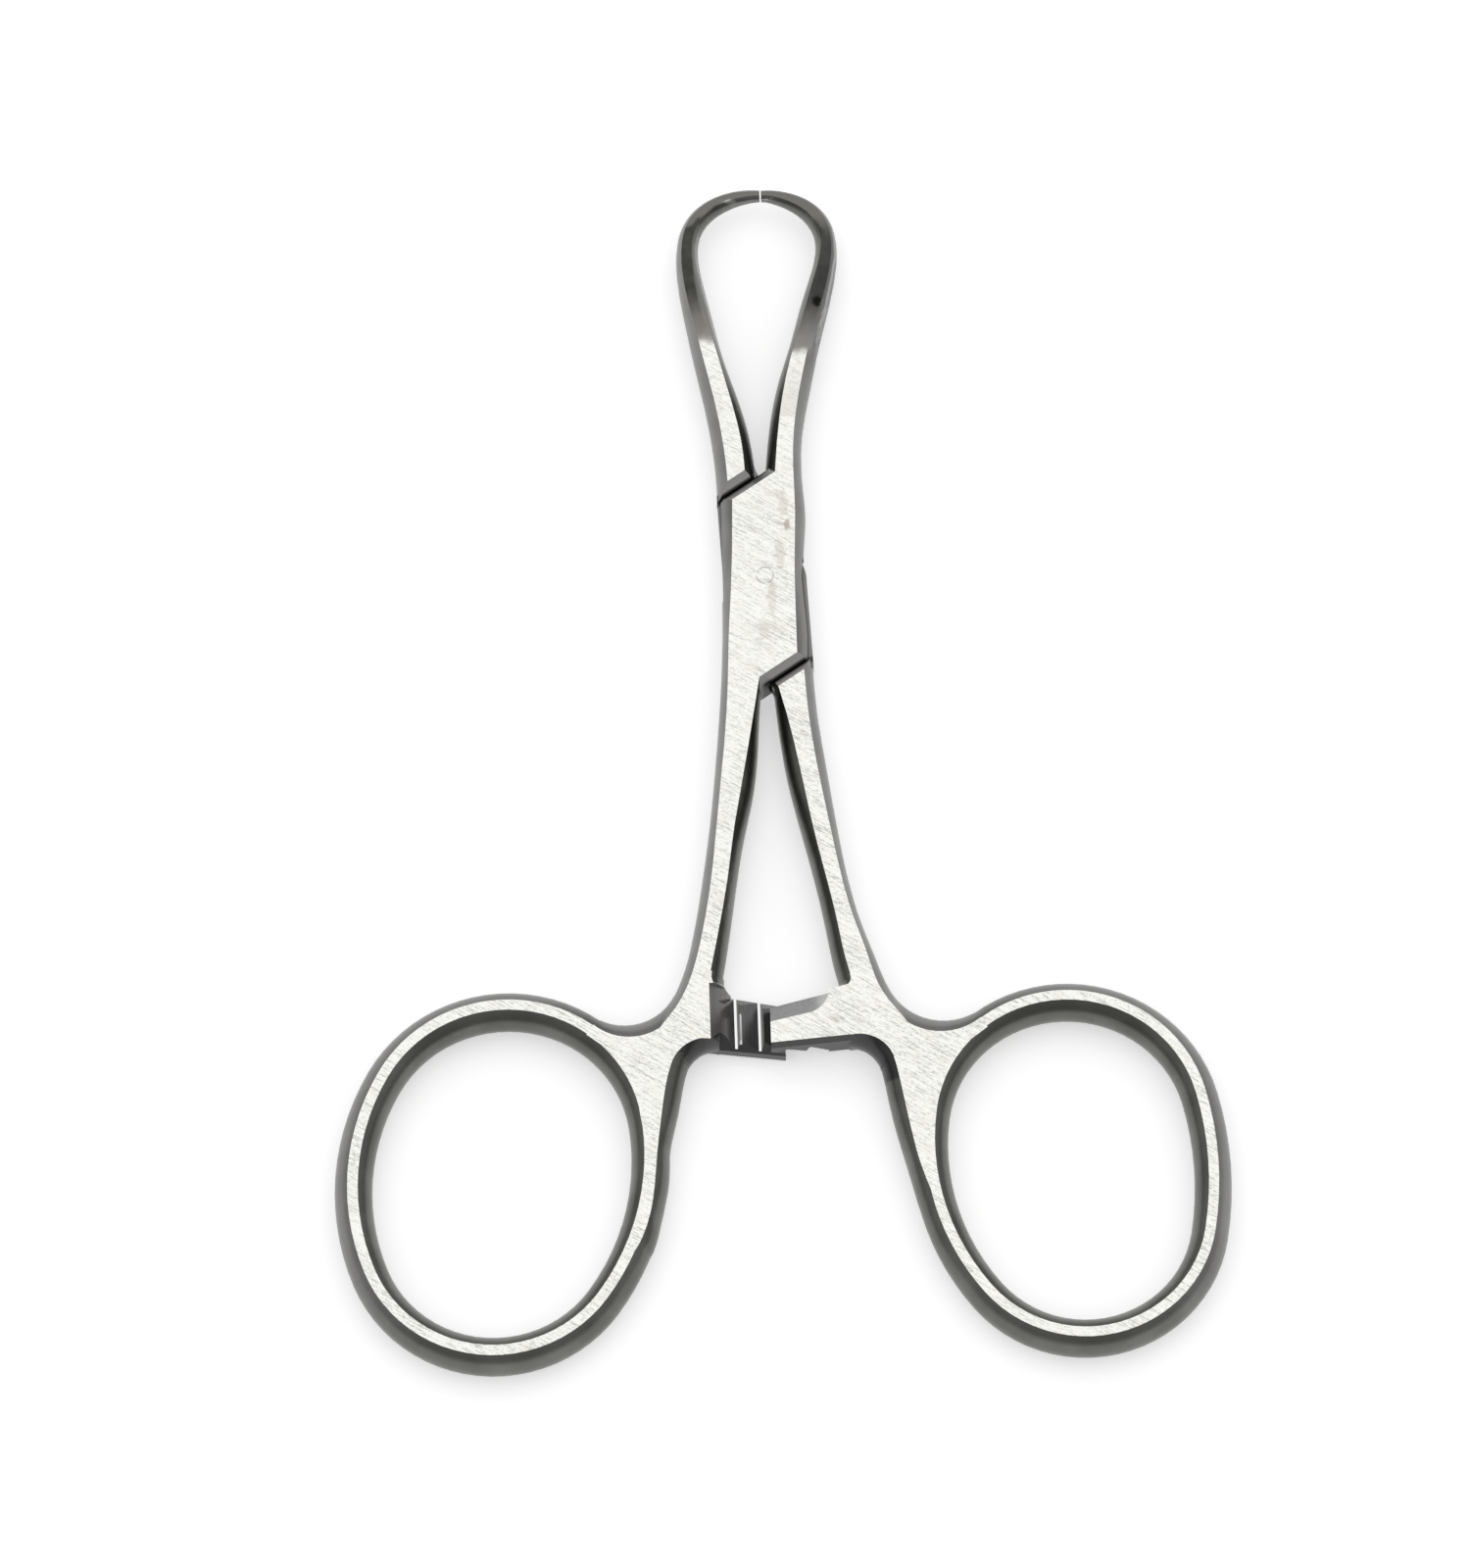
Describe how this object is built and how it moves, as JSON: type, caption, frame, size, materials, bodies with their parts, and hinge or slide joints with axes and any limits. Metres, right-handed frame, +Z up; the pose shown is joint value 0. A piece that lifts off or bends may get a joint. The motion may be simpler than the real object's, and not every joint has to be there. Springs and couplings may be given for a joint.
{
  "type": "towel forceps",
  "caption": "Towel forceps with finger rings, a box lock, a ratchet between the shanks and two curved jaws that meet at their tips.",
  "frame": {"origin": "foot of the pivot axis on the plane that the forceps lie on", "axes": "+Z up along the pivot axis, +Y from the pivot to the jaw tips, +X towards the ring of the tongue half"},
  "size_m": [0.0632, 0.0897, 0.0036],
  "materials": {
    "ground_steel": "faces ground satin, edges tumbled to a soft grey polish",
    "pin_steel": "ground flush with the satin faces"
  },
  "bodies": {
    "box_body": {"box_half": "ground_steel", "pivot_pin": "pin_steel"},
    "tongue_body": {"tongue_half": "ground_steel"}
  },
  "joints": [
    {"name": "box_lock", "type": "hinge", "parent": "box_body", "child": "tongue_body", "pos_m": [0, 0, 0.0018], "axis": [0, 0, 1], "range_deg": [0, 50]}
  ]
}
